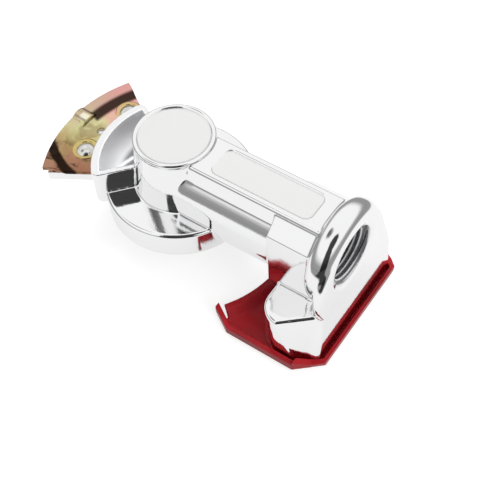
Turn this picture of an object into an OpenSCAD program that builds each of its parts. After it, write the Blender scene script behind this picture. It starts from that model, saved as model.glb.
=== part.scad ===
// Palm coupling head for a vehicle's air brake line.
// A cast head carries a sealing ring on its underside, a detent plate on one side
// and, past its arm, a threaded hose port that stands on a folded guide claw.
// Origin: on the head's axis, at its coupling face. +X runs along the arm to the port.

/* [Head] */
// Radius of the round head
head_r = 22.5; // [21:0.5:24]
// Height of the head's rim above the coupling face
head_h = 9.4; // [8.5:0.1:10.5]
// Chamfer on the rim's edges
head_edge = 0.7; // [0.3:0.1:1]
// Radius of the turret, over its top bead
turret_r = 12.1; // [11.5:0.1:13]
// Height of the turret's top above the coupling face
turret_top = 28; // [27.5:0.1:30]
// Radius of the bead round the turret's top
bead_r = 0.8; // [0.5:0.1:1.2]
// Depth of the bare recess in the turret's top
badge_depth = 0.7; // [0.4:0.1:1]
// Radius of the tapered turret at its foot
turret_foot_r = 13.7; // [12.5:0.1:14.5]

/* [Lug] */
// Outer radius of the stop lug
lug_r = 25.5; // [25:0.1:27]
// Height of the lug's top above the coupling face
lug_top = 17.6; // [16:0.1:20]
// Angle from the middle plane to the lug's long end
lug_long_angle = 48.5; // [42:0.5:54]
// Angle from the middle plane to the lug's short end
lug_short_angle = 29; // [26:0.5:40]
// Width of the lug's outer rim
lug_rim = 2.6; // [1.5:0.1:3.5]
// Thickness of the lug's two end walls
lug_wall = 1.6; // [1:0.1:2.5]
// Radius on the lug's upright corners
lug_corner = 2.2; // [1:0.1:3]
// Radius of the rounded pocket in the lug
pocket_r = 6.8; // [5:0.1:7.2]

/* [Detent plate] */
// Outer radius of the detent plate
plate_r = 41.5; // [40:0.1:43]
// Thickness of the detent plate
plate_t = 1.2; // [1:0.1:1.6]
// Half of the angle between the plate's outer corners
plate_tip_angle = 30.4; // [28:0.2:34]
// Half of the angle between the plate's sides where they leave the lug
plate_root_angle = 30.2; // [29.2:0.2:34]
// Rise of the pressed band along the plate's outer edge
band_rise = 1.6; // [1:0.1:2]
// Width of that band's flat top
band_w = 3.2; // [2.4:0.1:3.6]
// Run of the slope from the band down to the plate
band_run = 3.5; // [2.5:0.1:3.6]
// Radius of the detent rib across the band
rib_r = 4; // [2.5:0.1:4.5]
// Height of the detent rib above the band
rib_rise = 0.9; // [0.5:0.1:1.2]
// Length of the detent rib
rib_l = 5.2; // [4:0.1:5.4]
// Angle of the detent rib from the middle plane
rib_angle = 3; // [0:0.5:5]
// Drop of the flange's top below the head's rim
flange_drop = 0.6; // [0.3:0.1:0.8]
// Thickness of the cast flange under the plate
flange_t = 3.5; // [3:0.1:5]
// Setback of the flange's edge from the plate's outer edge
flange_inset = 0.8; // [0.7:0.1:2]
// Distance of the rivets and the gauge hole from the lug's outer wall
rivet_offset = 5.9; // [5:0.1:6.2]
// Angle from the middle plane to the rivet on the lug's long side
rivet_long_angle = 13.5; // [12:0.5:16]
// Angle from the middle plane to the rivet on the lug's short side
rivet_short_angle = 22.5; // [14:0.5:23]
// Radius of a rivet's shank
rivet_shank_r = 2; // [1.5:0.1:2.4]
// Radius of a rivet's head
rivet_head_r = 2.9; // [2.7:0.1:3.2]
// Height of a rivet's domed head above the plate
rivet_head_h = 1.2; // [0.8:0.1:1.6]
// Radius of the pressed ring round each rivet
ring_r = 4; // [3.5:0.1:4.2]
// Height of that ring above the plate
ring_rise = 0.3; // [0.2:0.1:0.5]
// Radius of the gauge hole
gauge_hole_r = 1.2; // [0.6:0.1:1.6]
// Angle of the gauge hole from the middle plane
gauge_hole_angle = 2; // [0:0.5:4]

/* [Arm] */
// Radius of the arm's round shoulders and belly
arm_r = 11.2; // [10.8:0.1:11.4]
// Height of the belly's axis above the coupling face
arm_belly_z = 9.9; // [9.7:0.1:10.8]
// Height of the arm's flat top above the coupling face
arm_top = 26.9; // [26.2:0.1:27.4]
// Width of the arm's flat top
arm_top_w = 12.8; // [11:0.1:14]
// Bevel along the flat top's edges
arm_bevel = 0.5; // [0.2:0.1:1]
// Slope of the ridge's sides below that bevel, from upright
ridge_slope = 14.5; // [10:0.5:18]
// Clearance of the arm's underside above the coupling face
arm_lift = 0.6; // [0.3:0.1:1.5]
// Distance of the panel's near end from the head's axis
panel_x = 15.3; // [14.5:0.1:17]
// Length of the sunk panel on the arm
panel_l = 32.8; // [28:0.1:34]
// Width of the sunk panel
panel_w = 10; // [8:0.1:11]
// Depth of the sunk panel
panel_depth = 0.5; // [0.3:0.1:1]
// Corner radius of the sunk panel
panel_corner = 2.5; // [1:0.1:3.5]

/* [Spanner block] */
// Distance of the block's inner end from the head's axis
block_x = 38.8; // [37:0.1:41]
// Width of the block
block_w = 23.4; // [23:0.1:25]
// Height of the block's shoulders above the coupling face
block_shoulder = 21; // [19:0.1:22]
// Size of the bevel on the block's shoulders
block_bevel = 4.4; // [3:0.1:5]

/* [Hose port] */
// Distance of the port's face from the head's axis
port_x = 59.8; // [58.5:0.1:61]
// Height of the port's axis above the coupling face
port_z = 14; // [13:0.1:15]
// Radius of the rounded collar
collar_r = 15.9; // [15:0.1:17]
// Thickness of the collar
collar_t = 7.7; // [7:0.1:8.5]
// Rounding on the collar's edges
collar_round = 3.4; // [1.5:0.1:3.6]
// Half of the width over the collar's lower corners
collar_foot_half_w = 16.6; // [16:0.1:17.5]
// Radius of the collar's lower corners
collar_foot_r = 5.6; // [5.5:0.1:7]
// Depth of all lower corners' centres below the coupling face
collar_foot_depth = 3; // [0:0.1:6]
// Thickness of the apron that the collar flares into
apron_t = 3.2; // [2.6:0.1:4]
// Rounding on the apron's edges
apron_round = 1.2; // [0.6:0.1:1.3]
// Radius of the apron's arch
apron_r = 17.5; // [17:0.1:18]
// Drop of the arch's centre below the port's axis
apron_drop = 5; // [4:0.1:6]
// Distance of the apron's flared lower corner from the middle plane
apron_half_w = 22; // [20:0.1:22.5]
// Radius of the apron's flared corner
apron_corner_r = 8; // [5:0.1:9]
// Outer radius of the port's thread
thread_r = 9; // [8:0.1:9.5]
// Length of the threaded bore
thread_l = 16; // [14:0.5:18]
// Bevel at the port's mouth
mouth_bevel = 1.8; // [0.6:0.1:2]
// Radius of the air passage through the arm
passage_r = 5; // [4:0.1:6]

/* [Foot] */
// Distance of the foot's two round bosses behind the port's face
boss_setback = 10.2; // [9.5:0.1:10.8]
// Room between each boss and the claw's side wall
boss_gap = 0.5; // [0.2:0.1:1]
// Radius of each boss
boss_r = 7.3; // [6:0.1:7.5]
// Height of the bosses' tops above the coupling face
boss_top = 2.2; // [1:0.1:4]
// Rounding on the bosses' top edges
boss_round = 1.1; // [0.5:0.1:1.5]
// Distance of a boss's slanted flat from the boss's axis, at its top
boss_flat = 5.3; // [4.5:0.1:6.5]
// Room between the mating plate's edge and the foot
swing_gap = 1.2; // [0.8:0.1:1.4]

/* [Guide claw] */
// Depth of the claw's underside below the coupling face
claw_depth = 15.6; // [15:0.1:17]
// Thickness of the claw's sheet
claw_t = 1.6; // [1.2:0.1:2]
// Bevel along the folds on the claw's underside
claw_fold = 1.3; // [0.6:0.1:1.5]
// Distance of the claw's front past the port's face
claw_lead = 3.6; // [2.8:0.1:5]
// Width of the claw's front wall
claw_front_w = 39; // [38:0.1:41]
// Width over the claw's side walls
claw_w = 52; // [51:0.1:54]
// Length of the claw's front corners, along the arm
claw_corner_l = 7.4; // [5:0.1:9]
// Length of the claw's inner corners, along the arm
claw_tail_l = 6.8; // [5:0.1:8]
// Height of the front and corner walls over the underside
claw_front_h = 5.6; // [4:0.1:7]
// Height of the side walls over the underside
claw_side_h = 4.2; // [3:0.1:5]
// Radius of the claw's lip at its top, round the head's axis
lip_top_r = 34.2; // [33.6:0.1:35]
// Radius of the lip at its foot
lip_foot_r = 37.6; // [37:0.1:38]
// Height of the lip's top over the underside
lip_h = 4; // [3.4:0.1:4.6]
// Half of the angle that the lip spans
lip_half_angle = 35; // [30:0.5:36]
// Half of the angle between the claw's two tail tips
tail_half_angle = 39.5; // [39:0.5:41]
// Radius of a claw screw's shank
screw_shank_r = 2.5; // [2:0.1:3]
// Length of a claw screw
screw_l = 12; // [8:0.5:14]
// Radius of the hex socket in a screw's head, over its corners
screw_socket_r = 1.9; // [1.4:0.1:2]
// Depth of that socket
screw_socket_depth = 1.4; // [1:0.1:1.8]

/* [Sealing ring] */
// Outer radius of the sealing ring
seal_r = 15.2; // [14:0.1:16]
// Depth of the ring's seat in the head
seat_depth = 6.4; // [5.5:0.1:7]
// How far the ring stands out of the coupling face
seal_proud = 1.5; // [0.8:0.1:2.5]
// Radius of the air opening through the ring
seal_bore_r = 9; // [8:0.1:9.4]
// Width of the ring's raised lip
seal_lip_w = 2.6; // [2:0.1:3]
// Radius of the chamber above the ring
chamber_r = 9.6; // [9.5:0.1:10]
// Height of the chamber's roof above the coupling face
chamber_top = 21; // [20:0.1:23]

/* [Hidden] */
$fn = 96;
hull_fn = 40;
hull_slab = 0.1;
fit_gap = 0.1;
overlap = 0.5;
turret_wall_r = turret_r - bead_r / 2;
flange_top = head_h - flange_drop;
flange_bottom = flange_top - flange_t;
plate_top = flange_top + plate_t;
arm_half_w = arm_top_w / 2;
block_half_w = block_w / 2;
block_top_z = block_shoulder + block_bevel;
claw_bottom = -claw_depth;
claw_floor = claw_bottom + claw_t;
claw_half_w = claw_w / 2;
claw_front_half_w = claw_front_w / 2;
claw_front = port_x + claw_lead;
boss_x = port_x - boss_setback;
boss_y = claw_half_w - claw_t - boss_gap - boss_r;
claw_corner_turn = atan2(claw_half_w - claw_front_half_w, claw_corner_l);
claw_corner_reach = (claw_front - boss_x) * sin(claw_corner_turn)
                    + (claw_front_half_w - boss_y) * cos(claw_corner_turn);
boss_foot_flat = claw_corner_reach - claw_t - boss_gap;
tail_tip = lip_top_r * [cos(tail_half_angle), sin(tail_half_angle)];
tail_turn = atan2(claw_half_w - tail_tip[1], claw_tail_l);
swing_r = plate_r + swing_gap;
screw_head_r = screw_shank_r + claw_t;
rivet_circle_r = lug_r + rivet_offset;
sides = [-1, 1];
rivet_angles = [-rivet_long_angle, rivet_short_angle];

// A point at radius r, at an angle from the -X direction towards +Y.
function stop_side(r, angle) = [-r * cos(angle), r * sin(angle)];

// The lug's wedge on the -X side, its two sides moved inwards by inset.
module lug_wedge(inset = 0) {
    tip_x = -inset * (cos(lug_long_angle) + cos(lug_short_angle)) / sin(lug_long_angle + lug_short_angle);
    tip = [tip_x, (inset + sin(lug_long_angle) * tip_x) / cos(lug_long_angle)];
    reach = lug_r * 2;
    polygon([tip, tip + stop_side(reach, -lug_long_angle), tip + stop_side(reach, lug_short_angle)]);
}

// What a rounded corner takes off a sector of radius r on the +Y side.
module sector_corner(r, end_angle, corner) {
    centre_r = r - corner;
    centre_angle = end_angle - asin(corner / centre_r);
    centre = stop_side(centre_r, centre_angle);
    difference() {
        polygon([centre,
                 stop_side(sqrt(centre_r * centre_r - corner * corner), end_angle),
                 stop_side(r * 1.1, end_angle + 5),
                 stop_side(r * 1.1, centre_angle)]);
        translate(centre)
            circle(corner);
    }
}

module head_profile() {
    bead_z = turret_top - bead_r;
    polygon([[0, 0], [head_r - head_edge, 0], [head_r, head_edge],
             [head_r, head_h - head_edge], [head_r - head_edge, head_h], [0, head_h]]);
    polygon([[0, 0], [turret_foot_r, 0], [turret_foot_r, head_h], [turret_wall_r, bead_z], [0, bead_z]]);
    square([turret_r - bead_r * 2, turret_top - badge_depth]);
    translate([turret_r - bead_r, bead_z])
        circle(bead_r, $fn = hull_fn);
}

module lug() {
    wall_h = lug_top - flange_bottom;
    pocket_axis_r = lug_r - lug_rim - pocket_r;
    difference() {
        translate([0, 0, flange_bottom])
            linear_extrude(wall_h)
                difference() {
                    intersection() {
                        circle(lug_r);
                        lug_wedge();
                    }
                    sector_corner(lug_r, lug_short_angle, lug_corner);
                    mirror([0, 1])
                        sector_corner(lug_r, lug_long_angle, lug_corner);
                }
        intersection() {
            rotate_extrude()
                translate([pocket_axis_r, lug_top])
                    circle(pocket_r, $fn = hull_fn);
            linear_extrude(lug_top + overlap)
                lug_wedge(lug_wall);
        }
    }
}

// Outline of the detent plate and its flange, from the head's axis out to its curved edge.
module stop_outline(inset) {
    root = stop_side(lug_r, plate_root_angle);
    tip = stop_side(plate_r, plate_tip_angle);
    slope = (tip - root) / norm(tip - root);
    inner = root - slope * lug_r / 2 - [0, inset];
    outer = tip + slope * lug_r / 2 - [0, inset];
    intersection() {
        circle(plate_r - inset);
        polygon([inner, outer, [outer[0], -outer[1]], [inner[0], -inner[1]]]);
    }
}

module flange() {
    difference() {
        translate([0, 0, flange_bottom])
            linear_extrude(flange_t)
                stop_outline(flange_inset);
        rivet_places()
            translate([0, 0, flange_bottom - overlap])
                cylinder(r = rivet_shank_r + fit_gap, h = flange_t + overlap * 2);
        translate(concat(stop_side(rivet_circle_r, gauge_hole_angle), flange_bottom - overlap))
            cylinder(r = gauge_hole_r, h = flange_t + overlap * 2);
    }
}

// Section of the arm: a round-shouldered tube with a flat-topped ridge along it.
module arm_section() {
    edge = [arm_half_w, arm_top];
    bevel = edge + [arm_bevel, -arm_bevel];
    root_z = port_z + arm_r / 2;
    root = [bevel[0] + (bevel[1] - root_z) * tan(ridge_slope), root_z];
    for (z = [arm_belly_z, port_z])
        translate([0, z])
            circle(arm_r);
    translate([-arm_r, arm_belly_z])
        square([arm_r * 2, port_z - arm_belly_z]);
    polygon([edge, bevel, root, [-root[0], root[1]], [-bevel[0], bevel[1]], [-edge[0], edge[1]]]);
}

// Runs a profile drawn in Y and Z along +X, from x to x + l.
module along_arm(x, l) {
    translate([x, 0, 0])
        rotate([90, 0, 90])
            linear_extrude(l)
                children();
}

module rounded_panel(l, w, corner) {
    translate([corner, -w / 2])
        square([l - corner * 2, w]);
    translate([0, corner - w / 2])
        square([l, w - corner * 2]);
    for (x = [corner, l - corner], y = sides * (w / 2 - corner))
        translate([x, y])
            circle(corner);
}

module arm() {
    difference() {
        along_arm(0, port_x - collar_t / 2)
            intersection() {
                arm_section();
                translate([-head_r, arm_lift])
                    square([head_r * 2, arm_top]);
            }
        translate([panel_x, 0, arm_top - panel_depth])
            linear_extrude(panel_depth + overlap)
                rounded_panel(panel_l, panel_w, panel_corner);
    }
}

module spanner_block() {
    top_half_w = block_half_w - block_bevel;
    along_arm(block_x, port_x - collar_t / 2 - block_x)
        polygon([[-block_half_w, arm_lift], [-block_half_w, block_shoulder], [-top_half_w, block_top_z],
                 [top_half_w, block_top_z], [block_half_w, block_shoulder], [block_half_w, arm_lift]]);
}

// A disc behind the port's face, with both edges rounded.
module round_edged_disc(y, z, r, t, edge_r) {
    translate([port_x, y, z])
        rotate([0, -90, 0])
            rotate_extrude($fn = hull_fn * 2) {
                square([r - edge_r, t]);
                translate([r - edge_r, edge_r])
                    square([edge_r, t - edge_r * 2]);
                for (x = [edge_r, t - edge_r])
                    translate([r - edge_r, x])
                        circle(edge_r, $fn = hull_fn);
            }
}

module apron_corner() {
    round_edged_disc(apron_half_w - apron_corner_r, -collar_foot_depth,
                     apron_corner_r, apron_t, apron_round);
}

// The collar round the port, and the thinner apron that flares from it on the +Y side.
module collar() {
    hull() {
        round_edged_disc(0, port_z, collar_r, collar_t, collar_round);
        for (side = sides)
            round_edged_disc(side * (collar_foot_half_w - collar_foot_r), -collar_foot_depth,
                             collar_foot_r, collar_t, collar_round);
    }
    hull() {
        round_edged_disc(0, port_z - apron_drop, apron_r, apron_t, apron_round);
        apron_corner();
    }
}

// Plan of the boss on the +Y side and what joins it to the port's face, its edges moved in by
// inset. The slanted flat, parallel to the claw's corner, lies at a distance flat from its axis.
module boss_outline(flat, inset = 0) {
    room = boss_r * 4;
    intersection() {
        union() {
            translate([boss_x, boss_y])
                circle(boss_r - inset, $fn = hull_fn);
            translate([boss_x, 0])
                square([port_x - boss_x, boss_y + boss_r - inset]);
        }
        translate([boss_x, boss_y])
            rotate(90 - claw_corner_turn)
                translate([-room, -room])
                    square([room + flat - inset, room * 2]);
    }
}

// Thin slabs that span the boss on the +Y side, its top edge rounded, all moved in by inset.
module boss_slabs(inset = 0) {
    translate([0, 0, claw_floor])
        linear_extrude(hull_slab)
            boss_outline(boss_foot_flat, inset);
    for (angle = [0 : 30 : 90])
        translate([0, 0, boss_top - inset - boss_round * (1 - sin(angle)) - hull_slab])
            linear_extrude(hull_slab)
                boss_outline(boss_flat, inset + boss_round * (1 - cos(angle)));
}

// The two bosses with the block between them, and a fairing from one boss to the apron's flare.
module foot() {
    difference() {
        union() {
            hull() {
                boss_slabs();
                mirror([0, 1])
                    boss_slabs();
            }
            hull() {
                boss_slabs(overlap);
                apron_corner();
            }
        }
        translate([0, 0, claw_bottom])
            cylinder(r = swing_r, h = claw_depth + arm_lift);
        screw_places()
            cylinder(r = screw_shank_r + fit_gap, h = screw_l + fit_gap);
    }
}

module hollows() {
    translate([0, 0, -overlap])
        cylinder(r = seal_r + fit_gap, h = seat_depth + overlap);
    cylinder(r = chamber_r, h = chamber_top);
    translate([0, 0, port_z])
        rotate([0, 90, 0])
            cylinder(r = passage_r, h = port_x - thread_l + overlap);
    translate([port_x - thread_l, 0, port_z])
        rotate([0, 90, 0]) {
            cylinder(r = thread_r, h = thread_l + overlap);
            translate([0, 0, thread_l - mouth_bevel])
                cylinder(r1 = thread_r, r2 = thread_r + mouth_bevel, h = mouth_bevel);
        }
}

module body() {
    color("silver")
        difference() {
            union() {
                rotate_extrude()
                    head_profile();
                lug();
                flange();
                arm();
                spanner_block();
                collar();
                foot();
            }
            hollows();
        }
}

module rivet_places() {
    for (angle = rivet_angles)
        translate(concat(stop_side(rivet_circle_r, angle), 0))
            children();
}

module detent_plate() {
    band_inner_r = plate_r - band_w;
    slope_foot_r = band_inner_r - band_run;
    band_top = plate_top + band_rise;
    color("darkkhaki")
        difference() {
            union() {
                intersection() {
                    rotate_extrude()
                        polygon([[turret_r, flange_top], [slope_foot_r, flange_top],
                                 [band_inner_r, band_top - plate_t], [plate_r, band_top - plate_t],
                                 [plate_r, band_top], [band_inner_r, band_top],
                                 [slope_foot_r, plate_top], [turret_r, plate_top]]);
                    linear_extrude(lug_top)
                        stop_outline(0);
                }
                rivet_places()
                    translate([0, 0, flange_top])
                        cylinder(r = ring_r, h = plate_t + ring_rise);
                intersection() {
                    rotate([0, 0, -rib_angle])
                        translate([-plate_r, 0, band_top + rib_rise - rib_r])
                            rotate([0, 90, 0])
                                cylinder(r = rib_r, h = rib_l);
                    translate([0, 0, band_top - plate_t])
                        cylinder(r = plate_r, h = plate_t + rib_rise);
                }
            }
            translate([0, 0, flange_bottom])
                cylinder(r = lug_r + fit_gap, h = lug_top);
            rivet_places()
                translate([0, 0, flange_bottom])
                    cylinder(r = rivet_shank_r + fit_gap, h = lug_top);
            rivet_places()
                translate([0, 0, plate_top])
                    cylinder(r = rivet_head_r + fit_gap, h = lug_top);
            translate(concat(stop_side(rivet_circle_r, gauge_hole_angle), flange_bottom))
                cylinder(r = gauge_hole_r, h = lug_top);
        }
}

module detent_plate_rivets() {
    dome_r = (rivet_head_r * rivet_head_r + rivet_head_h * rivet_head_h) / (rivet_head_h * 2);
    color("gainsboro")
        rivet_places() {
            translate([0, 0, flange_bottom])
                cylinder(r = rivet_shank_r, h = flange_t + plate_t + overlap);
            translate([0, 0, plate_top])
                rotate_extrude()
                    intersection() {
                        square([rivet_head_r, rivet_head_h]);
                        translate([0, rivet_head_h - dome_r])
                            circle(dome_r);
                    }
        }
}

// Outline of the claw, its walls moved inwards by inset and its open side carried on by reach.
module claw_outline(inset, reach = 0) {
    side_y = claw_half_w - inset;
    tail = tail_tip + inset * [sin(tail_turn), -cos(tail_turn)];
    half = [[claw_front - inset, claw_front_half_w - inset * tan((90 - claw_corner_turn) / 2)],
            [claw_front - claw_corner_l - inset * tan(claw_corner_turn / 2), side_y],
            [tail_tip[0] + claw_tail_l + inset * tan(tail_turn / 2), side_y],
            tail - reach * [cos(tail_turn), sin(tail_turn)]];
    polygon(concat(half, [for (i = [len(half) - 1 : -1 : 0]) [half[i][0], -half[i][1]]]));
}

module guide_claw() {
    lip_run = lip_foot_r - lip_top_r;
    lip_skin = claw_t * norm([lip_run, lip_h]) / lip_h;
    color("firebrick")
        difference() {
            union() {
                translate([0, 0, claw_bottom])
                    difference() {
                        hull() {
                            linear_extrude(hull_slab)
                                claw_outline(claw_fold);
                            translate([0, 0, claw_fold])
                                linear_extrude(claw_front_h - claw_fold)
                                    claw_outline(0);
                        }
                        translate([0, 0, claw_t])
                            linear_extrude(claw_front_h)
                                claw_outline(claw_t, claw_t);
                        translate([0, 0, -overlap])
                            linear_extrude(claw_front_h)
                                intersection() {
                                    circle(lip_foot_r);
                                    claw_outline(claw_t, claw_t);
                                }
                        translate([0, -claw_w, claw_side_h])
                            cube([claw_front - claw_corner_l, claw_w * 2, claw_front_h]);
                    }
                translate([0, 0, claw_bottom])
                    rotate([0, 0, -lip_half_angle])
                        rotate_extrude(angle = lip_half_angle * 2)
                            polygon([[lip_foot_r, 0], [lip_foot_r + lip_skin, 0],
                                     [lip_top_r + lip_skin, lip_h], [lip_top_r, lip_h]]);
            }
            screw_places()
                translate([0, 0, -claw_t - overlap])
                    cylinder(r = screw_shank_r + fit_gap, h = claw_t + overlap * 2);
            screw_places()
                translate([0, 0, -claw_t])
                    cylinder(r1 = screw_head_r + fit_gap, r2 = screw_shank_r + fit_gap, h = claw_t);
        }
}

// The two places where the claw is screwed up into the foot, at the claw's floor.
module screw_places() {
    for (side = sides)
        translate([boss_x, side * boss_y, claw_floor])
            children();
}

module guide_claw_screws() {
    color("dimgray")
        screw_places()
            translate([0, 0, -claw_t])
                difference() {
                    union() {
                        cylinder(r1 = screw_head_r, r2 = screw_shank_r, h = claw_t);
                        cylinder(r = screw_shank_r, h = screw_l);
                    }
                    translate([0, 0, -overlap])
                        cylinder(r = screw_socket_r, h = screw_socket_depth + overlap, $fn = 6);
                }
}

module sealing_ring() {
    lip_r = seal_bore_r + seal_lip_w;
    color("dimgray")
        rotate_extrude()
            difference() {
                union() {
                    translate([seal_bore_r, 0])
                        square([seal_r - seal_bore_r, seat_depth]);
                    translate([seal_bore_r, -seal_proud])
                        square([seal_lip_w, seal_proud + overlap]);
                }
                translate([lip_r + (seal_r - lip_r) / 2, 0])
                    circle((seal_r - lip_r) / 4, $fn = hull_fn);
            }
}

body();
detent_plate();
detent_plate_rivets();
guide_claw();
guide_claw_screws();
sealing_ring();
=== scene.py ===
"""Looks of the palm coupling head: finished pieces, the port's thread, light and camera.

Lengths are metres, in the CAD frame: the head's axis is Z, the arm runs along +X and the
coupling face is at z = 0. Angles are degrees.
"""

import math

import bmesh
import bpy
import numpy as np
from mathutils import Matrix, Vector


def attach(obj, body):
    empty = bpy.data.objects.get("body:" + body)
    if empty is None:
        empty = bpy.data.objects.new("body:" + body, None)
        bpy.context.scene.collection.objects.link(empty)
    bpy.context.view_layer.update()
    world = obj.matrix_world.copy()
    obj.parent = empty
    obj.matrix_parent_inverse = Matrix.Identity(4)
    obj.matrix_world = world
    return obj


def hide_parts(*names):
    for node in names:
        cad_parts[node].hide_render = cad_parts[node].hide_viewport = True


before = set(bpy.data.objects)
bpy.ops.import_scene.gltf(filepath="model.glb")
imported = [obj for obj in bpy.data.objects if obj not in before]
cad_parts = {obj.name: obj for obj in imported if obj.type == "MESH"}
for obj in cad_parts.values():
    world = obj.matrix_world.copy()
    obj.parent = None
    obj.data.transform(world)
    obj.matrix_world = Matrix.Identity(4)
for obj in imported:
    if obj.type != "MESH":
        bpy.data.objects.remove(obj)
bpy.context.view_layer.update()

MM = 0.001

# Sizes of the casting, as the CAD has them.
HEAD_H = 9.4 * MM
TURRET_R = 12.1 * MM
TURRET_FOOT_R = 13.7 * MM
TURRET_TOP = 28 * MM
BEAD_R = 0.8 * MM
RECESS_Z = 27.3 * MM
ARM_TOP = 26.9 * MM
PANEL_X = 15.3 * MM
PANEL_L = 32.8 * MM
PANEL_W = 10 * MM
PANEL_DEPTH = 0.5 * MM
LUG_R = 25.5 * MM
LUG_TOP = 17.6 * MM
LUG_WALL = 1.6 * MM
LUG_ANGLES = (-48.5, 29)
POCKET_AXIS_R = 16.1 * MM
POCKET_R = 6.8 * MM
PORT_X = 59.8 * MM
PORT_Z = 14 * MM
COLLAR_R = 15.9 * MM
COLLAR_T = 7.7 * MM
THREAD_R = 9 * MM
THREAD_L = 16 * MM
MOUTH_BEVEL = 1.8 * MM
FOOT_Z = -14 * MM

# How the port's bevel is drawn, flatter, and the foot's front face, leaning out below a crease.
MOUTH_FLATTER = 0.65
MOUTH_SLACK = 0.5 * MM
FOOT_LEAN = 1.7 * MM
FOOT_CREASE_Z = -1.5 * MM
FOOT_FRONT_X = (PORT_X - 2.2 * MM, PORT_X - 0.6 * MM)

# The claw's floor and front, and how its front wall is drawn: lower, and leaning out a little.
CLAW_FLOOR = -14 * MM
CLAW_FRONT = 63.4 * MM
LIP_X = (55 * MM, 60 * MM)
LIP_CUT = 0.55
LIP_LEAN = 0.25
LIP_LEAN_X = (PORT_X, PORT_X + 1 * MM)

# Where the casting is softened more, from no weight to full weight: the arm's root and the
# collar's edge.
ARM_ROOT_REACH = (2.5 * MM, 1 * MM)
ARM_ROOT_X = (4 * MM, 5 * MM)
ARM_ROOT_LOW_Z = (14 * MM, 17 * MM)
ARM_ROOT_HIGH_Z = (25.5 * MM, 23 * MM)
COLLAR_EDGE_R = (COLLAR_R - 3.5 * MM, COLLAR_R - 2.5 * MM)
COLLAR_EDGE_X = (PORT_X - COLLAR_T - 0.5 * MM, PORT_X - COLLAR_T + 0.5 * MM)
COLLAR_EDGE_Z = (0, 4 * MM)
ARM_ROOT_ROUNDS, COLLAR_EDGE_ROUNDS = 120, 60
SOFTENING = 0.5
MERGE_WITHIN = 1e-6
CASTING_TRIANGLES, CLAW_TRIANGLES = 190000, 150000

# The masks on the casting: how sharp they are, where the bore starts, and the pocket's painted shade with the
# painted light streak across it.
MASK_EDGE = 0.25 * MM
BORE_START_X = (20 * MM, 21 * MM)
SHADE_INNER_R = TURRET_R + 0.9 * MM
SHADE_REACH = (6 * MM, 4 * MM)
LIGHT_STREAK_OFF = 2 * MM
LIGHT_STREAK_TURN = 5
LIGHT_STREAK_SLANT = 0.16 * MM
LIGHT_STREAK_HALF_W = (1.0 * MM, 0.3 * MM)

# The thread's turns: their ridge, how it runs out, the gap at its inner end and both gaps together.
PITCH = 1.5 * MM
RIDGE_ROOT_R, RIDGE_CREST_R = THREAD_R + 0.2 * MM, THREAD_R - 0.95 * MM
RIDGE_ROOT_W, RIDGE_CREST_W = 1.45 * MM, 0.2 * MM
STEPS_PER_TURN, FADE_STEPS = 96, 24
LEAST_RIDGE = 0.04
INNER_GAP = 1.2 * MM
END_GAPS = 1.8 * MM
FLANK_R = (THREAD_R - 0.3 * MM, THREAD_R - 0.9 * MM)
# The thread's grey by radius: painted shade deep in the roots and a painted highlight on the crests.
THREAD_SHADE_AND_HIGHLIGHT = ((0.0, (0.16, 0.16, 0.17)), (0.65, (0.42, 0.42, 0.43)), (1.0, (0.92, 0.92, 0.93)))

# Colours and bumps of the casting. Each bump is a noise's scale, detail and roughness, and its depth.
POLISHED = (0.9, 0.9, 0.905, 1)
AS_CAST = (0.9, 0.895, 0.89, 1)
POCKET_PALE = (0.86, 0.86, 0.87, 1)
# The pocket's painted shade: dark grey towards the turret.
POCKET_PAINTED_SHADE = (0.2, 0.2, 0.21, 1)
BORE_GREY = (0.6, 0.6, 0.61, 1)
POCKET_LESS_METAL = 0.6
CASTING_BUMPS = ((110, 1, 0.5, 1.2e-5), (450, 2, 0.5, 1.1e-5), (1500, 3, 0.6, 9e-6))

# Sizes of the detent plate, as the CAD has them.
PLATE_R = 41.5 * MM
BAND_W = 3.2 * MM
BAND_RUN = 3.5 * MM
SLOPE_FOOT_R = PLATE_R - BAND_W - BAND_RUN
RIVET_CIRCLE_R = LUG_R + 5.9 * MM
RIVET_ANGLES = (-13.5, 22.5)

# The plate's tints, from one end of TINT_TURNS to the other. Turns are angles round the head from -X.
TINT_TURNS = (-31, 31)
TINT_WANDER = 26.0
PLATE_TINTS = (
    (0.0, (0.34, 0.15, 0.09)), (0.14, (0.42, 0.22, 0.13)), (0.28, (0.5, 0.38, 0.15)),
    (0.45, (0.7, 0.68, 0.34)), (0.6, (0.72, 0.66, 0.36)), (0.7, (0.82, 0.42, 0.37)),
    (1.0, (0.8, 0.42, 0.38)))

# The plate's raised band, and the slope up to it, which carries a painted dark reflection.
BAND_START_R = (PLATE_R - BAND_W - 0.9 * MM, PLATE_R - BAND_W + 0.3 * MM)
BAND_TURNS, BAND_WEIGHTS = (-12, 8), (0.15, 0.85)
BAND_TINT_TURNS = (12, 26)
BAND_BROWN = (0.6, 0.44, 0.32, 1)
BAND_PINK = (0.72, 0.36, 0.33, 1)
SLOPE_START_R = (SLOPE_FOOT_R - 0.4 * MM, SLOPE_FOOT_R + 0.7 * MM)
SLOPE_TURNS, SLOPE_WEIGHTS = (4.5, 7), (0.1, 0.96)
# The slope's painted dark reflection.
SLOPE_PAINTED_REFLECTION = (0.025, 0.015, 0.01, 1)
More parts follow.
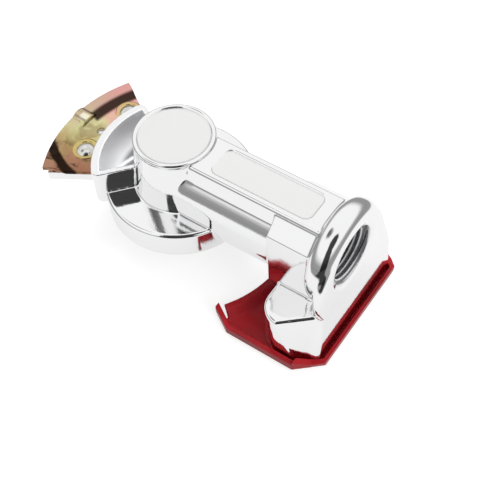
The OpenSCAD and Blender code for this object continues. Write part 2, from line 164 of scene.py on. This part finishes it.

# Marks on the plate: stains, smears, a dark diagonal patch and rings round the rivets, and a painted
# highlight on the rib.
STAIN_NOISE, STAIN_TURNS, STAIN_WEIGHT = (0.5, 0.62), (-8, -20), 0.85
STAIN_DARK = (0.035, 0.018, 0.012, 1)
SMEAR_NOISE, SMEAR_TURNS, SMEAR_WEIGHT = (0.52, 0.64), (9, 3), 0.55
SMEAR_BROWN = (0.3, 0.2, 0.1, 1)
PATCH_SLANT, PATCH_R, PATCH_WANDER = 1600.0, 36 * MM, 0.18
PATCH_START, PATCH_END, PATCH_WEIGHT = (-31, -29), (-24, -22), 0.97
PATCH_DARK = (0.015, 0.008, 0.006, 1)
# Where the rib's painted highlight sits, how strong it is, and its pale cream.
RIB_TURN, RIB_HALF_TURNS = 2.2, (2.6, 1.0)
RIB_R, RIB_HALF_L, RIB_HIGHLIGHT_WEIGHT = 37.8 * MM, (2 * MM, 0.9 * MM), 0.9
RIB_PAINTED_HIGHLIGHT = (0.95, 0.9, 0.72, 1)
RING_R, RING_WEIGHT = (4.2 * MM, 3.6 * MM), 0.8
RING_YELLOW = (0.66, 0.52, 0.2, 1)

# The camera that was fitted to the photograph.
CAMERA_PLACE = Vector((0.13271, -0.14101, 0.23888))
CAMERA_AZIMUTH = 37.6
CAMERA_ELEVATION = 54.45
CAMERA_ROLL = -4.03
CAMERA_LENS = 72.28
CAMERA_CLIP = (0.01, 10)
SENSOR = 36

# What mirrors see all round: a grey horizon, a dark upright strip, a dark round spot where the
# camera is, and a soft blot.
HORIZON_LEVEL = 0.33
HORIZON_ANGLES = (4, 28)
STRIP_AZIMUTH = -62
STRIP_CORE, STRIP_END = 18, 28
STRIP_TOP = (64, 56)
SPOT_CORE, SPOT_END = 16, 25
BLOT_AZIMUTH, BLOT_ELEVATION = -155, 60
BLOT_CORE, BLOT_END, BLOT_WEIGHT = 4, 15, 0.8
DARKEST = 0.05
SOFT_LIGHT = 0.5

# The floor: where it turns grey and takes the strip in mirrors, and its own light there and in the view.
FLOOR_Z = -15.6 * MM
FLOOR_HALF = 1.0
FLOOR_MIDDLE = (15 * MM, 0, 0)
FLOOR_GREY = (0.15, 0.11)
FLOOR_STRIP, FLOOR_STRIP_LEVEL = (0.12, 0.16), 0.15
MIRROR_MATT, MIRROR_GLOW = 0.15, 0.76
VIEW_MATT, VIEW_GLOW = (0.4, 0.4, 0.4, 1), 0.72

# The lamps: place, size and power, aimed at one point.
LAMP_TARGET = (0.01, 0, 0)
LAMPS = {"key": ((-0.25, 0.3, 0.55), 0.5, 5), "fill": ((0.45, -0.1, 0.35), 0.4, 2)}

# The span in which most of a noise's values lie, and what keeps a vector's level part.
NOISE_SPAN = (0.3, 0.7)
LEVEL = (1, 1, 0)


def add_node(tree, kind, inputs=None, **settings):
    """Adds a node, sets its options, and fills or links its inputs by name or number."""
    node = tree.nodes.new(kind)
    for key, value in settings.items():
        setattr(node, key, value)
    for key, value in (inputs or {}).items():
        if isinstance(value, bpy.types.NodeSocket):
            tree.links.new(value, node.inputs[key])
        else:
            node.inputs[key].default_value = value
    return node


def math_node(tree, operation, *values):
    return add_node(tree, "ShaderNodeMath", dict(enumerate(values)), operation=operation).outputs[0]


def product(tree, first, second):
    return math_node(tree, "MULTIPLY", first, second)


def from_axis(tree, first, second):
    """How far a point lies from an axis, by its two distances square to it."""
    squares = math_node(tree, "ADD", product(tree, first, first), product(tree, second, second))
    return math_node(tree, "SQRT", squares)


def off_middle(tree, value, middle):
    return math_node(tree, "ABSOLUTE", math_node(tree, "SUBTRACT", value, middle))


def vector_node(tree, operation, *values):
    return add_node(tree, "ShaderNodeVectorMath", dict(enumerate(values)), operation=operation).outputs


def remap(tree, value, start, end, low=0.0, high=1.0, kind="SMOOTHSTEP"):
    """Maps a value to low at start and high at end, held outside, and eased unless kind says LINEAR."""
    inputs = {"Value": value, "From Min": start, "From Max": end, "To Min": low, "To Max": high}
    return add_node(tree, "ShaderNodeMapRange", inputs, interpolation_type=kind).outputs[0]


def mix_colors(tree, factor, first, second):
    inputs = {0: factor, 6: first, 7: second}
    return add_node(tree, "ShaderNodeMix", inputs, data_type="RGBA").outputs[2]


def noise(tree, coords, scale, detail=2.0, roughness=0.5):
    inputs = {"Vector": coords, "Scale": scale, "Detail": detail, "Roughness": roughness}
    return add_node(tree, "ShaderNodeTexNoise", inputs).outputs[0]


def ramp(tree, factor, stops):
    """A colour ramp through (place, colour) stops."""
    node = add_node(tree, "ShaderNodeValToRGB", {0: factor})
    elements = node.color_ramp.elements
    while len(elements) < len(stops):
        elements.new(0.5)
    for element, (place, color) in zip(elements, stops):
        element.position = place
        element.color = (*color, 1)
    return node.outputs[0]


def bump(tree, height, depth, under=None):
    """A bump of the given depth in metres, over another bump if there is one."""
    inputs = {"Height": height, "Distance": depth, "Strength": 1.0}
    if under is not None:
        inputs["Normal"] = under
    return add_node(tree, "ShaderNodeBump", inputs).outputs[0]


def new_material(name):
    """A material with a Principled shader, and the object's coordinates in metres."""
    material = bpy.data.materials.new(name)
    material.use_nodes = True
    tree = material.node_tree
    tree.nodes.clear()
    shader = add_node(tree, "ShaderNodeBsdfPrincipled")
    add_node(tree, "ShaderNodeOutputMaterial", {"Surface": shader.outputs[0]})
    coords = add_node(tree, "ShaderNodeTexCoord").outputs["Object"]
    return material, tree, shader, coords


def set_inputs(tree, shader, **inputs):
    """Sets or links the shader's inputs; an underscore stands for a space in their names."""
    for key, value in inputs.items():
        socket = shader.inputs[key.replace("_", " ")]
        if isinstance(value, bpy.types.NodeSocket):
            tree.links.new(value, socket)
        else:
            socket.default_value = value


def painted(tree, name):
    """A mask that was stored on the mesh by paint()."""
    return add_node(tree, "ShaderNodeAttribute", attribute_name=name).outputs["Fac"]


def polished_casting():
    """Polished die-cast metal with a fine speckle, duller as cast, in the lug's pocket and in the bore.
    Painted shade darkens the pocket towards the turret and is left out along a painted light streak.
    """
    material, tree, shader, coords = new_material("polished_casting")
    as_cast, pocket, shade, bore = (
        painted(tree, name) for name in ("as_cast", "pocket", "pocket_painted_shade", "bore"))
    rough = remap(tree, noise(tree, coords, 60, 3), *NOISE_SPAN, 0.05, 0.09)
    for mask, duller in ((as_cast, 0.34), (pocket, 0.42), (bore, 0.25)):
        rough = math_node(tree, "ADD", rough, product(tree, mask, duller))
    base = mix_colors(tree, as_cast, POLISHED, AS_CAST)
    # The pocket's shade is painted into its colour: dark grey towards the turret, left out along a painted
    # light streak.
    for mask, color in ((pocket, POCKET_PALE), (shade, POCKET_PAINTED_SHADE), (bore, BORE_GREY)):
        base = mix_colors(tree, mask, base, color)
    normal = None
    for scale, detail, roughness, depth in CASTING_BUMPS:
        normal = bump(tree, noise(tree, coords, scale, detail, roughness), depth, normal)
    grain = product(tree, noise(tree, coords, 900, 4, 0.6), as_cast)
    normal = bump(tree, grain, 2.5e-5, normal)
    metal = math_node(tree, "MULTIPLY_ADD", pocket, -POCKET_LESS_METAL, 1.0)
    set_inputs(tree, shader, Base_Color=base, Metallic=metal, Roughness=rough, Normal=normal)
    return material


def thread_metal():
    """Cut thread: painted shade, dark to grey, down the flanks towards the roots, and a painted highlight on
    the crests.
    """
    material, tree, shader, coords = new_material("thread_metal")
    place = add_node(tree, "ShaderNodeSeparateXYZ", {0: coords}).outputs
    radius = from_axis(tree, place["Y"], math_node(tree, "SUBTRACT", place["Z"], PORT_Z))
    # Painted shade darkens the thread towards its roots, and a painted highlight lightens its crests.
    base = ramp(tree, remap(tree, radius, *FLANK_R), THREAD_SHADE_AND_HIGHLIGHT)
    rough = remap(tree, noise(tree, coords, 500, 3), *NOISE_SPAN, 0.28, 0.4)
    set_inputs(tree, shader, Base_Color=base, Metallic=0.5, Roughness=rough)
    return material


def zinc_plate():
    """Yellow zinc plating: brown, gold green and pink along the plate, with dark stains, a painted dark
    reflection on the slope and a painted highlight on the rib.
    """
    material, tree, shader, coords = new_material("zinc_plate")
    place = add_node(tree, "ShaderNodeSeparateXYZ", {0: coords}).outputs
    radius = from_axis(tree, place["X"], place["Y"])
    turn = math_node(tree, "ARCTAN2", place["Y"], product(tree, place["X"], -1.0))
    turn = math_node(tree, "DEGREES", turn)
    clouds = noise(tree, coords, 130, 3, 0.6)
    wander = product(tree, math_node(tree, "SUBTRACT", clouds, 0.5), TINT_WANDER)
    drift = remap(tree, math_node(tree, "ADD", turn, wander), *TINT_TURNS, kind="LINEAR")
    tint = ramp(tree, drift, PLATE_TINTS)

    band = remap(tree, radius, *BAND_START_R)
    band_tint = mix_colors(tree, remap(tree, turn, *BAND_TINT_TURNS), BAND_BROWN, BAND_PINK)
    band_weight = product(tree, band, remap(tree, turn, *BAND_TURNS, *BAND_WEIGHTS))
    base = mix_colors(tree, band_weight, tint, band_tint)

    below_band = math_node(tree, "SUBTRACT", 1.0, band)
    # A painted dark reflection over the far part of the slope, up to the band.
    slope = product(tree, remap(tree, radius, *SLOPE_START_R), below_band)
    slope_reflection_weight = remap(tree, remap(tree, turn, *SLOPE_TURNS), 0.0, 1.0, *SLOPE_WEIGHTS)
    stains = product(tree, remap(tree, noise(tree, coords, 330, 3, 0.6), *STAIN_NOISE),
                     remap(tree, turn, *STAIN_TURNS))
    smears = product(tree, remap(tree, noise(tree, coords, 170, 2), *SMEAR_NOISE),
                     remap(tree, turn, *SMEAR_TURNS))
    slant = math_node(tree, "MULTIPLY_ADD", radius, -PATCH_SLANT, PATCH_R * PATCH_SLANT)
    slant = math_node(tree, "ADD", turn, slant)
    slant = math_node(tree, "ADD", slant, product(tree, wander, PATCH_WANDER))
    patch = product(tree, remap(tree, slant, *PATCH_START), remap(tree, slant, *PATCH_END, 1.0, 0.0))
    # A painted highlight on the rib's inner half.
    rib = product(tree, remap(tree, off_middle(tree, turn, RIB_TURN), *RIB_HALF_TURNS),
                  remap(tree, off_middle(tree, radius, RIB_R), *RIB_HALF_L))
    for mask, weight, color in (
            (slope, slope_reflection_weight, SLOPE_PAINTED_REFLECTION), (stains, STAIN_WEIGHT, STAIN_DARK),
            (smears, SMEAR_WEIGHT, SMEAR_BROWN), (patch, PATCH_WEIGHT, PATCH_DARK),
            (rib, RIB_HIGHLIGHT_WEIGHT, RIB_PAINTED_HIGHLIGHT)):
        base = mix_colors(tree, product(tree, mask, weight), base, color)

    level = vector_node(tree, "MULTIPLY", coords, LEVEL)[0]
    for angle in RIVET_ANGLES:
        side = math.radians(angle)
        rivet = (-RIVET_CIRCLE_R * math.cos(side), RIVET_CIRCLE_R * math.sin(side), 0)
        off = vector_node(tree, "DISTANCE", level, rivet)["Value"]
        base = mix_colors(tree, remap(tree, off, *RING_R, 0.0, RING_WEIGHT), base, RING_YELLOW)
    set_inputs(tree, shader, Base_Color=base, Metallic=1.0,
               Roughness=remap(tree, clouds, *NOISE_SPAN, 0.1, 0.22),
               Normal=bump(tree, noise(tree, coords, 700, 3), 5e-6))
    return material


def marked_metal(name, scale, span, dark, light, rough, depth):
    """Plain metal whose tone, gloss and surface follow one noise."""
    material, tree, shader, coords = new_material(name)
    marks = noise(tree, coords, scale, 3)
    base = mix_colors(tree, remap(tree, marks, *span), dark, light)
    set_inputs(tree, shader, Base_Color=base, Metallic=1.0,
               Roughness=remap(tree, marks, *NOISE_SPAN, *rough), Normal=bump(tree, marks, depth))
    return material


def rivet_metal():
    return marked_metal("rivet_metal", scale=800, span=(0.35, 0.65), dark=(0.62, 0.61, 0.58, 1),
                        light=(0.8, 0.79, 0.76, 1), rough=(0.1, 0.2), depth=4e-7)


def screw_steel():
    return marked_metal("screw_steel", scale=900, span=(0.35, 0.7), dark=(0.07, 0.07, 0.075, 1),
                        light=(0.2, 0.2, 0.21, 1), rough=(0.3, 0.48), depth=8e-6)


def red_paint():
    """Gloss enamel with a slight orange peel, a little deeper in tone here and there."""
    material, tree, shader, coords = new_material("red_paint")
    clouds = noise(tree, coords, 70, 3)
    peel = noise(tree, coords, 520, 2)
    deep, clear = (0.25, 0.003, 0.008, 1), (0.36, 0.006, 0.012, 1)
    set_inputs(tree, shader, Base_Color=mix_colors(tree, remap(tree, clouds, *NOISE_SPAN), deep, clear),
               Roughness=remap(tree, clouds, *NOISE_SPAN, 0.25, 0.34), Normal=bump(tree, peel, 8e-6),
               Specular_IOR_Level=0.15, Coat_Weight=0.12, Coat_Roughness=0.05)
    return material


def seal_rubber():
    """Moulded rubber with a slight grey bloom."""
    material, tree, shader, coords = new_material("seal_rubber")
    bloom = noise(tree, coords, 160, 4)
    grain = noise(tree, coords, 1400, 2)
    black, grey = (0.022, 0.022, 0.024, 1), (0.045, 0.045, 0.047, 1)
    set_inputs(tree, shader, Base_Color=mix_colors(tree, remap(tree, bloom, 0.4, 0.75), black, grey),
               Roughness=remap(tree, bloom, *NOISE_SPAN, 0.45, 0.65), Normal=bump(tree, grain, 1.5e-5))
    return material


def finish_piece(piece, material, nodes=()):
    """Gives a piece its material and slot, and fixes it to the body in place of its CAD nodes."""
    piece.data.materials.clear()
    piece.data.materials.append(material)
    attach(piece, "root")
    if nodes:
        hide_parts(*nodes)


def apply_modifiers(piece):
    """Makes what the piece's modifiers show its own mesh."""
    graph = bpy.context.evaluated_depsgraph_get()
    piece.data = bpy.data.meshes.new_from_object(piece.evaluated_get(graph))
    piece.modifiers.clear()


def add_softening(piece, name, rounds):
    soft = piece.modifiers.new(name, "SMOOTH")
    soft.factor = SOFTENING
    soft.iterations = rounds
    return soft


def places(piece):
    """The x, y and z of all vertices."""
    points = np.empty(3 * len(piece.data.vertices))
    piece.data.vertices.foreach_get("co", points)
    return points.reshape(-1, 3).T


def ease(values, start, end):
    """Goes smoothly from 0 at start to 1 at end."""
    t = np.clip((values - start) / (end - start), 0, 1)
    return t * t * (3 - 2 * t)


def arm_root(x, y, z):
    """The blend between the turret and the arm's sides."""
    wall_r = TURRET_R + (TURRET_FOOT_R - TURRET_R) * (TURRET_TOP - z) / (TURRET_TOP - HEAD_H)
    near = ease(np.abs(np.hypot(x, y) - wall_r), *ARM_ROOT_REACH)
    return near * ease(x, *ARM_ROOT_X) * ease(z, *ARM_ROOT_LOW_Z) * ease(z, *ARM_ROOT_HIGH_Z)


def collar_edge(x, y, z):
    """The collar's round outer edge, above the foot."""
    return ease(np.hypot(y, z - PORT_Z), *COLLAR_EDGE_R) * ease(x, *COLLAR_EDGE_X) * ease(z, *COLLAR_EDGE_Z)


def foot_and_mouth(x, y, z):
    """Leans the foot's front face out over the claw and draws the port's bevel as a shallow dish."""
    front = ease(x, *FOOT_FRONT_X)
    lean = FOOT_LEAN * front * np.clip((z - FOOT_CREASE_Z) / (FOOT_Z - FOOT_CREASE_Z), 0, 1)
    radius = np.hypot(y, z - PORT_Z)
    bevel = (x > PORT_X - MOUTH_BEVEL) & (radius > THREAD_R - MOUTH_SLACK) & (radius < THREAD_R + MOUTH_BEVEL)
    return x + lean + np.where(bevel, (PORT_X - x) * MOUTH_FLATTER, 0), y, z


def low_lip(x, y, z):
    """Draws the claw's front wall as a low lip that leans out."""
    front = ease(x, *LIP_X)
    low = np.where(z > CLAW_FLOOR, CLAW_FLOOR + (z - CLAW_FLOOR) * (1 - LIP_CUT * front), z)
    lean = LIP_LEAN * (low - CLAW_FLOOR) * ease(x, *LIP_LEAN_X)
    return np.minimum(x + lean, CLAW_FRONT), y, low


def soft_copy(node, name, voxel, rounds, triangles=None, blends=(), shape=None):
    """A CAD node's shape as a fine even mesh whose edges are softened, at most so many triangles.

    Each blend is a function that weighs the places x, y, z, and how many more rounds soften them.
    A shape is a function that moves the places.
    """
    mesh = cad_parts[node].data.copy()
    work = bmesh.new()
    work.from_mesh(mesh)
    bmesh.ops.remove_doubles(work, verts=work.verts, dist=MERGE_WITHIN)
    work.to_mesh(mesh)
    work.free()
    piece = bpy.data.objects.new(name, mesh)
    bpy.context.collection.objects.link(piece)
    even = piece.modifiers.new("even", "REMESH")
    even.mode = "VOXEL"
    even.voxel_size = voxel
    even.use_smooth_shade = True
    add_softening(piece, "soft", rounds)
    apply_modifiers(piece)
    for weigh, more_rounds in blends:
        weights = np.round(weigh(*places(piece)), 1)
        group = piece.vertex_groups.new(name=weigh.__name__)
        for weight in np.unique(weights[weights > 0]):
            group.add(np.flatnonzero(weights == weight).tolist(), float(weight), "REPLACE")
        add_softening(piece, weigh.__name__, more_rounds).vertex_group = group.name
    if shape:
        piece.data.vertices.foreach_set("co", np.array(shape(*places(piece))).T.ravel())
    if blends:
        apply_modifiers(piece)
        piece.vertex_groups.clear()
    count = 2 * len(piece.data.polygons)
    if triangles and count > triangles:
        piece.modifiers.new("fewer", "DECIMATE").ratio = triangles / count
        apply_modifiers(piece)
    piece.data.polygons.foreach_set("use_smooth", [True] * len(piece.data.polygons))
    return piece


def paint(piece, name, values):
    """Stores a mask on the mesh, one value for each vertex."""
    piece.data.attributes.new(name, "FLOAT", "POINT").data.foreach_set("value", values)


def paint_casting(piece):
    """Marks where the casting kept its as-cast skin, the lug's pocket and the shade painted into it with its
    painted light streak, and the port's bore.
    """
    x, y, z = places(piece)
    r = np.hypot(x, y)
    edge = MASK_EDGE
    recess_r = TURRET_R - 2 * BEAD_R
    recess = ease(r, recess_r + edge, recess_r) * ease(np.abs(z - RECESS_Z), 2 * edge, edge)
    panel = ease(np.abs(x - PANEL_X - PANEL_L / 2), PANEL_L / 2, PANEL_L / 2 - edge)
    panel *= ease(np.abs(y), PANEL_W / 2, PANEL_W / 2 - edge)
    panel *= ease(np.abs(z - ARM_TOP + PANEL_DEPTH), 2 * edge, edge)
    paint(piece, "as_cast", np.clip(recess + panel, 0, 1))

    pocket = ease(np.hypot(r - POCKET_AXIS_R, z - LUG_TOP), POCKET_R + 2 * edge, POCKET_R + edge)
    pocket *= ease(z, LUG_TOP + edge, LUG_TOP - edge) * ease(x, edge, 0)
    for angle in LUG_ANGLES:
        side = math.radians(angle)
        from_side = -math.copysign(1, angle) * (math.sin(side) * x + math.cos(side) * y)
        pocket *= ease(from_side, LUG_WALL - 2 * edge, LUG_WALL - edge)
    paint(piece, "pocket", pocket)

    # Painted shade in the pocket, darker towards the turret and left out along a painted light streak.
    turn = np.degrees(np.arctan2(y, -x))
    off_light_streak = np.abs(r - SHADE_INNER_R - LIGHT_STREAK_OFF + (turn + LIGHT_STREAK_TURN) * LIGHT_STREAK_SLANT)
    shade = ease(r - SHADE_INNER_R, *SHADE_REACH) * (1 - ease(off_light_streak, *LIGHT_STREAK_HALF_W))
    paint(piece, "pocket_painted_shade", pocket * shade)

    bore = ease(np.hypot(y, z - PORT_Z), THREAD_R + 2 * edge, THREAD_R + edge)
    bore *= ease(x, *BORE_START_X) * ease(x, PORT_X - edge, PORT_X - 3 * edge)
    paint(piece, "bore", bore)


def thread_turns():
    """The port's thread as one helical ridge that runs out at both ends."""
    start = PORT_X - THREAD_L + INNER_GAP
    turns = (THREAD_L - MOUTH_BEVEL * (1 - MOUTH_FLATTER) - END_GAPS) / PITCH
    steps = round(turns * STEPS_PER_TURN)
    work = bmesh.new()
    rings = []
    for step in range(steps + 1):
        fade = min(1.0, step / FADE_STEPS, (steps - step) / FADE_STEPS)
        inner_r = RIDGE_ROOT_R + (RIDGE_CREST_R - RIDGE_ROOT_R) * max(fade, LEAST_RIDGE)
        angle = 2 * math.pi * step / STEPS_PER_TURN
        x = start + PITCH * step / STEPS_PER_TURN
        profile = ((RIDGE_ROOT_R, -RIDGE_ROOT_W / 2), (inner_r, -RIDGE_CREST_W / 2),
                   (inner_r, RIDGE_CREST_W / 2), (RIDGE_ROOT_R, RIDGE_ROOT_W / 2))
        rings.append([work.verts.new((x + dx, r * math.cos(angle), PORT_Z + r * math.sin(angle)))
                      for r, dx in profile])
    for before, after in zip(rings, rings[1:]):
        for i in range(4):
            j = (i + 1) % 4
            work.faces.new((before[i], before[j], after[j], after[i]))
    work.faces.new(rings[0])
    work.faces.new(rings[-1][::-1])
    bmesh.ops.recalc_face_normals(work, faces=work.faces)
    mesh = bpy.data.meshes.new("port_thread")
    work.to_mesh(mesh)
    work.free()
    piece = bpy.data.objects.new("port_thread", mesh)
    bpy.context.collection.objects.link(piece)
    return piece


def camera_axes():
    """The camera's right, up and backward directions."""
    azimuth, elevation, roll = (math.radians(x) for x in (CAMERA_AZIMUTH, CAMERA_ELEVATION, CAMERA_ROLL))
    back = Vector((math.sin(azimuth) * math.cos(elevation), -math.cos(azimuth) * math.cos(elevation),
                   math.sin(elevation)))
    right = Vector((math.cos(azimuth), math.sin(azimuth), 0))
    up = back.cross(right)
    rolled_right = math.cos(roll) * right + math.sin(roll) * up
    rolled_up = math.cos(roll) * up - math.sin(roll) * right
    return rolled_right, rolled_up, back


def add_camera():
    data = bpy.data.cameras.new("camera")
    data.lens = CAMERA_LENS
    data.sensor_width = SENSOR
    data.clip_start, data.clip_end = CAMERA_CLIP
    camera = bpy.data.objects.new("camera", data)
    bpy.context.collection.objects.link(camera)
    turn = Matrix(camera_axes()).transposed().to_4x4()
    camera.matrix_world = Matrix.Translation(CAMERA_PLACE) @ turn
    bpy.context.scene.camera = camera


def toward(azimuth, elevation=0):
    """The direction at an azimuth and elevation."""
    turn, rise = math.radians(azimuth), math.radians(elevation)
    return Vector((math.cos(turn) * math.cos(rise), math.sin(turn) * math.cos(rise), math.sin(rise)))


def within(tree, direction, middle, end, core):
    """Is 1 within the core angle of a middle direction and falls to 0 at the end angle."""
    cosine = vector_node(tree, "DOT_PRODUCT", direction, middle)["Value"]
    return remap(tree, cosine, math.cos(math.radians(end)), math.cos(math.radians(core)))


def at_heights(tree, height, angles, low=0.0, high=1.0):
    """Goes from low to high between two angles above the horizon."""
    return remap(tree, height, *(math.sin(math.radians(angle)) for angle in angles), low, high)


def strip_mask(tree, direction):
    """How much a direction lies in the dark upright strip."""
    level = vector_node(tree, "MULTIPLY", direction, LEVEL)[0]
    level = vector_node(tree, "NORMALIZE", level)[0]
    return within(tree, level, toward(STRIP_AZIMUTH), STRIP_END, STRIP_CORE)


def mirrored_ray(tree, path):
    return math_node(tree, "MAXIMUM", path["Is Glossy Ray"], path["Is Transmission Ray"])


def add_world():
    """White light all round. Mirrors also see a grey horizon and the dark strip, spot and blot."""
    world = bpy.data.worlds.new("studio")
    bpy.context.scene.world = world
    world.use_nodes = True
    tree = world.node_tree
    tree.nodes.clear()
    direction = add_node(tree, "ShaderNodeTexCoord").outputs["Generated"]
    height = add_node(tree, "ShaderNodeSeparateXYZ", {0: direction}).outputs["Z"]
    horizon = at_heights(tree, height, HORIZON_ANGLES, HORIZON_LEVEL, 1.0)
    strip = product(tree, strip_mask(tree, direction), at_heights(tree, height, STRIP_TOP))
    spot = within(tree, direction, camera_axes()[2], SPOT_END, SPOT_CORE)
    blot = within(tree, direction, toward(BLOT_AZIMUTH, BLOT_ELEVATION), BLOT_END, BLOT_CORE)
    dark = math_node(tree, "MAXIMUM", strip, spot)
    dark = math_node(tree, "MAXIMUM", dark, product(tree, blot, BLOT_WEIGHT))
    tent = product(tree, horizon, remap(tree, dark, 0.0, 1.0, 1.0, DARKEST))
    path = add_node(tree, "ShaderNodeLightPath").outputs
    mirrored = mirrored_ray(tree, path)
    plain = product(tree, math_node(tree, "SUBTRACT", 1.0, mirrored), SOFT_LIGHT)
    seen = math_node(tree, "MULTIPLY_ADD", mirrored, tent, plain)
    seen = math_node(tree, "MAXIMUM", seen, path["Is Camera Ray"])
    background = add_node(tree, "ShaderNodeBackground", {"Color": (1, 1, 1, 1), "Strength": seen})
    add_node(tree, "ShaderNodeOutputWorld", {"Surface": background.outputs[0]})


def add_lamp(name, place, size, power):
    data = bpy.data.lights.new(name, "AREA")
    data.size = size
    data.energy = power
    lamp = bpy.data.objects.new(name, data)
    bpy.context.collection.objects.link(lamp)
    lamp.location = place
    lamp.rotation_mode = "QUATERNION"
    lamp.rotation_quaternion = (Vector(LAMP_TARGET) - Vector(place)).to_track_quat("-Z", "Y")
    lamp.visible_glossy = False


def pale_shader(tree, matt, glow):
    """Part of the floor's light comes from the lamps, and so takes the shadow, and part is its own."""
    diffuse = add_node(tree, "ShaderNodeBsdfDiffuse", {"Color": matt}).outputs[0]
    glowing = add_node(tree, "ShaderNodeEmission", {"Strength": glow}).outputs[0]
    return add_node(tree, "ShaderNodeAddShader", {0: diffuse, 1: glowing}).outputs[0]


def add_floor():
    """A pale floor that takes the shadow. In mirrors it runs out into the grey horizon and the strip."""
    corners = [(x * FLOOR_HALF, y * FLOOR_HALF, FLOOR_Z) for x, y in ((-1, -1), (1, -1), (1, 1), (-1, 1))]
    mesh = bpy.data.meshes.new("floor")
    mesh.from_pydata(corners, [], [(0, 1, 2, 3)])
    floor = bpy.data.objects.new("floor", mesh)
    bpy.context.collection.objects.link(floor)
    material = bpy.data.materials.new("floor")
    material.use_nodes = True
    tree = material.node_tree
    tree.nodes.clear()
    coords = add_node(tree, "ShaderNodeTexCoord").outputs["Object"]
    level = vector_node(tree, "SUBTRACT", coords, FLOOR_MIDDLE)[0]
    level = vector_node(tree, "MULTIPLY", level, LEVEL)[0]
    away = vector_node(tree, "LENGTH", level)["Value"]
    lit = remap(tree, away, *FLOOR_GREY, HORIZON_LEVEL, 1.0)
    strip = product(tree, strip_mask(tree, level), remap(tree, away, *FLOOR_STRIP))
    lit = product(tree, lit, remap(tree, strip, 0.0, 1.0, 1.0, FLOOR_STRIP_LEVEL))
    path = add_node(tree, "ShaderNodeLightPath").outputs
    in_mirrors = pale_shader(tree, product(tree, lit, MIRROR_MATT), product(tree, lit, MIRROR_GLOW))
    in_view = pale_shader(tree, VIEW_MATT, product(tree, path["Is Camera Ray"], VIEW_GLOW))
    shaders = {0: mirrored_ray(tree, path), 1: in_view, 2: in_mirrors}
    surface = add_node(tree, "ShaderNodeMixShader", shaders).outputs[0]
    add_node(tree, "ShaderNodeOutputMaterial", {"Surface": surface})
    mesh.materials.append(material)


casting = soft_copy("body", "cast_body", voxel=0.2 * MM, rounds=14, triangles=CASTING_TRIANGLES,
                    blends=[(arm_root, ARM_ROOT_ROUNDS), (collar_edge, COLLAR_EDGE_ROUNDS)],
                    shape=foot_and_mouth)
paint_casting(casting)
finish_piece(casting, polished_casting(), ["body"])
finish_piece(thread_turns(), thread_metal())
plate = soft_copy("detent_plate", "plated_sheet", voxel=0.15 * MM, rounds=10)
finish_piece(plate, zinc_plate(), ["detent_plate"])
rivets = soft_copy("detent_plate_rivets", "rivets", voxel=0.1 * MM, rounds=12)
finish_piece(rivets, rivet_metal(), ["detent_plate_rivets"])
claw = soft_copy("guide_claw", "painted_claw", voxel=0.2 * MM, rounds=12, triangles=CLAW_TRIANGLES,
                 shape=low_lip)
finish_piece(claw, red_paint(), ["guide_claw"])
screws = soft_copy("guide_claw_screws", "screws", voxel=0.12 * MM, rounds=4)
finish_piece(screws, screw_steel(), ["guide_claw_screws"])
ring = soft_copy("sealing_ring", "rubber_ring", voxel=0.3 * MM, rounds=5)
finish_piece(ring, seal_rubber(), ["sealing_ring"])

add_floor()
for lamp_name, (lamp_place, lamp_size, lamp_power) in LAMPS.items():
    add_lamp(lamp_name, lamp_place, lamp_size, lamp_power)
add_world()
add_camera()
bpy.context.scene.view_settings.view_transform = "Standard"
